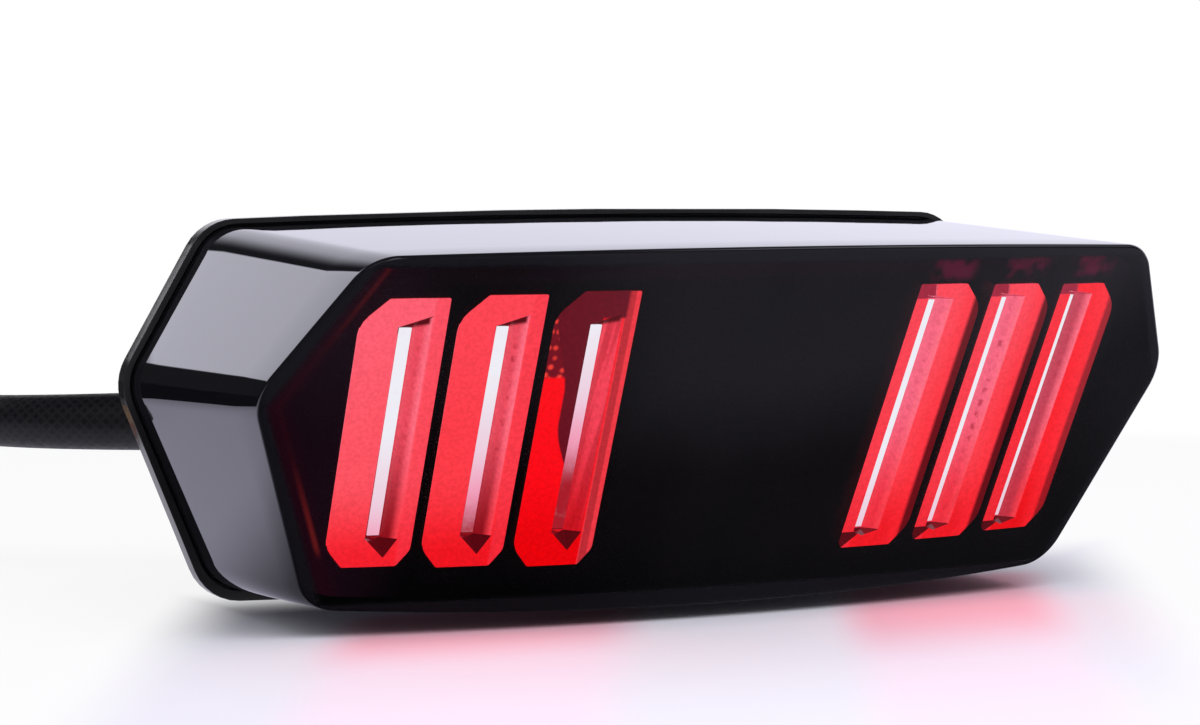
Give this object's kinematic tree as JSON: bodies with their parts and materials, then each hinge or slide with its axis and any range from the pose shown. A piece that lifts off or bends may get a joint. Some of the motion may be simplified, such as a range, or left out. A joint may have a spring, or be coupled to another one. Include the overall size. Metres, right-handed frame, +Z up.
{
  "type": "motorcycle tail light",
  "caption": "Hexagonal smoked LED tail light with red light bars and white guide strips each side, rear threaded inserts and a plug lead.",
  "frame": {"origin": "midway between the two threaded inserts, on the plane of the boss faces where the lamp seats", "axes": "+X to the right of someone who looks at the lens, +Z up, the light shines towards -Y and the bolts leave towards +Y"},
  "size_m": [0.2061, 0.1905, 0.0675],
  "materials": {
    "smoked_lens": "glossy smoked polycarbonate",
    "seal_rubber": "soft black sealant",
    "housing_black": "gloss black ABS",
    "bezel_black": "gloss black ABS",
    "red_bar": "clear red polycarbonate, lit",
    "white_guide": "clear light guide, lit",
    "white_box": "matte white reflector",
    "white_board": "white solder mask",
    "white_led": "LED package",
    "red_led": "LED package",
    "header_nylon": "natural nylon",
    "screw_zinc": "zinc plated",
    "carrier_grey": "dark grey moulded plastic",
    "green_board": "green solder mask",
    "chip_black": "moulded package",
    "capacitor_blue": "sleeved can",
    "jumper_grey": "thin wire insulation",
    "wire_black": "wire insulation",
    "wire_red": "wire insulation",
    "wire_yellow": "wire insulation",
    "insert_brass": "turned and knurled",
    "vent_black": "breather cap",
    "grommet_rubber": "moulded rubber",
    "tie_nylon": "natural nylon",
    "cable_black": "black cable jacket",
    "shrink_black": "heat-shrink tube",
    "plug_black": "moulded nylon",
    "plug_seal_orange": "silicone seal",
    "terminal_brass": "plated terminal",
    "lock_red": "moulded nylon"
  },
  "bodies": {
    "lamp": {"outer_lens": "smoked_lens", "lens_gasket": "seal_rubber", "housing": "housing_black", "bezel": "bezel_black", "bar_left_outer": "red_bar", "bar_left_middle": "red_bar", "bar_left_inner": "red_bar", "bar_right_inner": "red_bar", "bar_right_middle": "red_bar", "bar_right_outer": "red_bar", "guide_left_outer": "white_guide", "guide_left_middle": "white_guide", "guide_left_inner": "white_guide", "guide_right_inner": "white_guide", "guide_right_middle": "white_guide", "guide_right_outer": "white_guide", "light_box_left": "white_box", "light_box_right": "white_box", "led_board_left": "white_board", "led_board_right": "white_board", "white_leds_left": "white_led", "white_leds_right": "white_led", "red_leds_left": "red_led", "red_leds_right": "red_led", "led_header_left": "header_nylon", "led_header_right": "header_nylon", "board_screws": "screw_zinc", "carrier": "carrier_grey", "carrier_screws": "screw_zinc", "driver_board": "green_board", "driver_chips": "chip_black", "driver_capacitors": "capacitor_blue", "driver_resistors": "chip_black", "driver_header": "header_nylon", "driver_screws": "screw_zinc", "jumper_left": "jumper_grey", "jumper_right": "jumper_grey", "lead_ground": "wire_black", "lead_tail": "wire_red", "lead_brake": "wire_yellow", "mount_inserts": "insert_brass", "vent_cap": "vent_black", "cable_grommet": "grommet_rubber", "cable_tie": "tie_nylon", "cable_entry": "cable_black"},
    "lead": {"cable_jacket": "cable_black", "jacket_shrink": "shrink_black", "wire_ground": "wire_black", "wire_tail": "wire_red", "wire_brake": "wire_yellow", "plug_housing": "plug_black", "plug_seal": "plug_seal_orange", "plug_terminals": "terminal_brass"},
    "lock": {"plug_lock": "lock_red"},
    "latch": {"plug_latch": "plug_black"}
  },
  "joints": [
    {"name": "lead_swing", "type": "hinge", "parent": "lamp", "child": "lead", "pos_m": [-0.024, 0.008, -0.0055], "axis": [0, 0, -1], "range_deg": [0, 45]},
    {"name": "lock_slide", "type": "slide", "parent": "lead", "child": "lock", "axis": [-0.4226, 0.9063, 0], "range_m": [0, 0.0022]},
    {"name": "latch_press", "type": "hinge", "parent": "lead", "child": "latch", "pos_m": [-0.10966, 0.09058, -0.0223], "axis": [0.9063, 0.4226, 0], "range_deg": [0, 4.5]}
  ]
}
